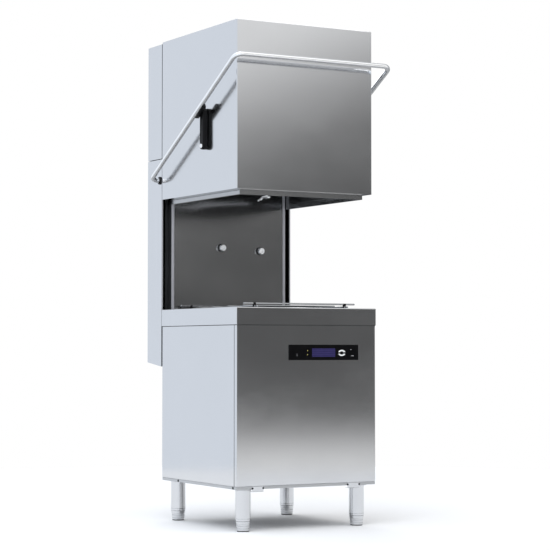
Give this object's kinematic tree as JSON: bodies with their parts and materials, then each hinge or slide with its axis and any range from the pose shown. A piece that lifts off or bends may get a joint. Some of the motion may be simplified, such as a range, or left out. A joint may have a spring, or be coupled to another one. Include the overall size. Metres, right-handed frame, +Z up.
{
  "type": "hood-type commercial dishwasher",
  "caption": "Pass-through commercial dishwasher with a lift hood, bent-tube handle on links, rear column, spray arms, tank, control fascia and levelling feet.",
  "frame": {"origin": "on the floor, at the middle of the outer width and depth", "axes": "+Z up, -Y out of the front (controls), X across, left to right seen from the front"},
  "size_m": [0.725, 0.868, 1.99],
  "materials": {
    "brushed_stainless": "brushed stainless steel sheet",
    "chamber_stainless": "satin stainless steel, darker in the chamber",
    "polished_stainless": "polished stainless steel",
    "frame_steel": "dull steel",
    "black_plastic": "black moulded plastic",
    "fascia_plastic": "glossy black overlay",
    "white_plastic": "white moulded plastic",
    "display_glass": "dark blue backlit display window",
    "motor_paint": "dark grey motor paint",
    "aluminium_fins": "plain aluminium fins",
    "spring_steel": "drawn wire"
  },
  "bodies": {
    "machine": {"base_frame": "frame_steel", "tank_deck": "brushed_stainless", "wash_tank": "chamber_stainless", "front_panel": "brushed_stainless", "left_side_panel": "brushed_stainless", "right_side_panel": "brushed_stainless", "base_rear_panel": "brushed_stainless", "control_fascia": "fascia_plastic", "display_window": "display_glass", "column_casing": "brushed_stainless", "tower_casing": "brushed_stainless", "column_bracket": "frame_steel", "chamber_back_panel": "chamber_stainless", "left_guide_rail": "polished_stainless", "right_guide_rail": "polished_stainless", "left_panel_knob": "polished_stainless", "right_panel_knob": "polished_stainless", "left_counterbalance_spring": "spring_steel", "right_counterbalance_spring": "spring_steel", "condenser_coil": "aluminium_fins", "fan_housing": "black_plastic", "wash_pump_housing": "black_plastic", "wash_pump_motor": "motor_paint", "boiler": "brushed_stainless", "tank_heater": "spring_steel", "drain_pump": "black_plastic", "upper_manifold": "chamber_stainless", "lower_manifold": "chamber_stainless", "left_handle_bush": "black_plastic", "right_handle_bush": "black_plastic", "leg_front_left": "brushed_stainless", "leg_front_right": "brushed_stainless", "leg_rear_left": "brushed_stainless", "leg_rear_right": "brushed_stainless"},
    "hood": {"hood_shell": "brushed_stainless", "hood_liner": "chamber_stainless", "left_link_pin": "polished_stainless", "right_link_pin": "polished_stainless"},
    "handle": {"handle_bail": "polished_stainless", "left_arm_clamp": "black_plastic", "right_arm_clamp": "black_plastic"},
    "left_link_body": {"left_link": "black_plastic"},
    "right_link_body": {"right_link": "black_plastic"},
    "upper_wash_rotor": {"upper_wash_arm": "brushed_stainless"},
    "upper_rinse_rotor": {"upper_rinse_arm": "brushed_stainless"},
    "lower_wash_rotor": {"lower_wash_arm": "brushed_stainless"},
    "lower_rinse_rotor": {"lower_rinse_arm": "brushed_stainless"},
    "impeller": {"pump_impeller": "white_plastic"},
    "fan": {"fan_wheel": "black_plastic"},
    "rack_guide": {"rack_frame": "polished_stainless"},
    "filter_tray": {"tank_filter": "chamber_stainless"},
    "overflow": {"overflow_pipe": "chamber_stainless"},
    "power_key": {"power_button": "black_plastic"},
    "up_key": {"up_button": "white_plastic"},
    "down_key": {"down_button": "white_plastic"},
    "select_key": {"select_button": "black_plastic"},
    "front_left_foot": {"foot_front_left": "frame_steel"},
    "front_right_foot": {"foot_front_right": "frame_steel"},
    "rear_left_foot": {"foot_rear_left": "frame_steel"},
    "rear_right_foot": {"foot_rear_right": "frame_steel"}
  },
  "joints": [
    {"name": "hood_slide", "type": "slide", "parent": "machine", "child": "hood", "axis": [0, 0, 1], "range_m": [-0.439, 0], "stiffness_N_per_m": 250, "springref_m": 1.9, "deforming": ["left_counterbalance_spring", "right_counterbalance_spring"]},
    {"name": "handle_pivot", "type": "hinge", "parent": "machine", "child": "handle", "pos_m": [0, 0.319, 1.41], "axis": [1, 0, 0], "range_deg": [0, 54.58]},
    {"name": "left_link_pivot", "type": "hinge", "parent": "hood", "child": "left_link_body", "pos_m": [-0.323, -0.0975, 1.5155], "axis": [1, 0, 0], "range_deg": [0, 9.16]},
    {"name": "right_link_pivot", "type": "hinge", "parent": "hood", "child": "right_link_body", "pos_m": [0.323, -0.0975, 1.5155], "axis": [1, 0, 0], "range_deg": [0, 9.16]},
    {"name": "upper_wash_spin", "type": "hinge", "parent": "machine", "child": "upper_wash_rotor", "pos_m": [0, -0.031, 1.353], "axis": [0, 0, 1], "continuous": true},
    {"name": "upper_rinse_spin", "type": "hinge", "parent": "machine", "child": "upper_rinse_rotor", "pos_m": [0, -0.031, 1.335], "axis": [0, 0, 1], "continuous": true},
    {"name": "lower_wash_spin", "type": "hinge", "parent": "machine", "child": "lower_wash_rotor", "pos_m": [0, -0.031, 0.821], "axis": [0, 0, 1], "continuous": true},
    {"name": "lower_rinse_spin", "type": "hinge", "parent": "machine", "child": "lower_rinse_rotor", "pos_m": [0, -0.031, 0.839], "axis": [0, 0, 1], "continuous": true},
    {"name": "impeller_spin", "type": "hinge", "parent": "machine", "child": "impeller", "pos_m": [-0.036, -0.031, 0.36], "axis": [1, 0, 0], "continuous": true},
    {"name": "fan_spin", "type": "hinge", "parent": "machine", "child": "fan", "pos_m": [0, 0.37, 1.764], "axis": [0, 0, 1], "continuous": true},
    {"name": "rack_guide_lift", "type": "slide", "parent": "machine", "child": "rack_guide", "axis": [0, 0, 1], "range_m": [0, 0.12]},
    {"name": "filter_tray_lift", "type": "slide", "parent": "machine", "child": "filter_tray", "axis": [0, 0, 1], "range_m": [0, 0.08]},
    {"name": "overflow_lift", "type": "slide", "parent": "machine", "child": "overflow", "axis": [0, 0, 1], "range_m": [0, 0.02]},
    {"name": "power_button_press", "type": "slide", "parent": "machine", "child": "power_key", "axis": [0, 1, 0], "range_m": [0, 0.0012], "stiffness_N_per_m": 600},
    {"name": "up_button_press", "type": "slide", "parent": "machine", "child": "up_key", "axis": [0, 1, 0], "range_m": [0, 0.0012], "stiffness_N_per_m": 600},
    {"name": "down_button_press", "type": "slide", "parent": "machine", "child": "down_key", "axis": [0, 1, 0], "range_m": [0, 0.0012], "stiffness_N_per_m": 600},
    {"name": "select_button_press", "type": "slide", "parent": "machine", "child": "select_key", "axis": [0, 1, 0], "range_m": [0, 0.0012], "stiffness_N_per_m": 600},
    {"name": "front_left_foot_adjust", "type": "slide", "parent": "machine", "child": "front_left_foot", "axis": [0, 0, 1], "range_m": [-0.04, 0]},
    {"name": "front_right_foot_adjust", "type": "slide", "parent": "machine", "child": "front_right_foot", "axis": [0, 0, 1], "range_m": [-0.04, 0]},
    {"name": "rear_left_foot_adjust", "type": "slide", "parent": "machine", "child": "rear_left_foot", "axis": [0, 0, 1], "range_m": [-0.04, 0]},
    {"name": "rear_right_foot_adjust", "type": "slide", "parent": "machine", "child": "rear_right_foot", "axis": [0, 0, 1], "range_m": [-0.04, 0]}
  ],
  "couplings": [
    {"joint": "handle_pivot", "follows": "hood_slide", "rad_per_m": -2.1692},
    {"joint": "left_link_pivot", "follows": "hood_slide", "rad_per_m": -0.3634},
    {"joint": "right_link_pivot", "follows": "hood_slide", "rad_per_m": -0.3634}
  ]
}
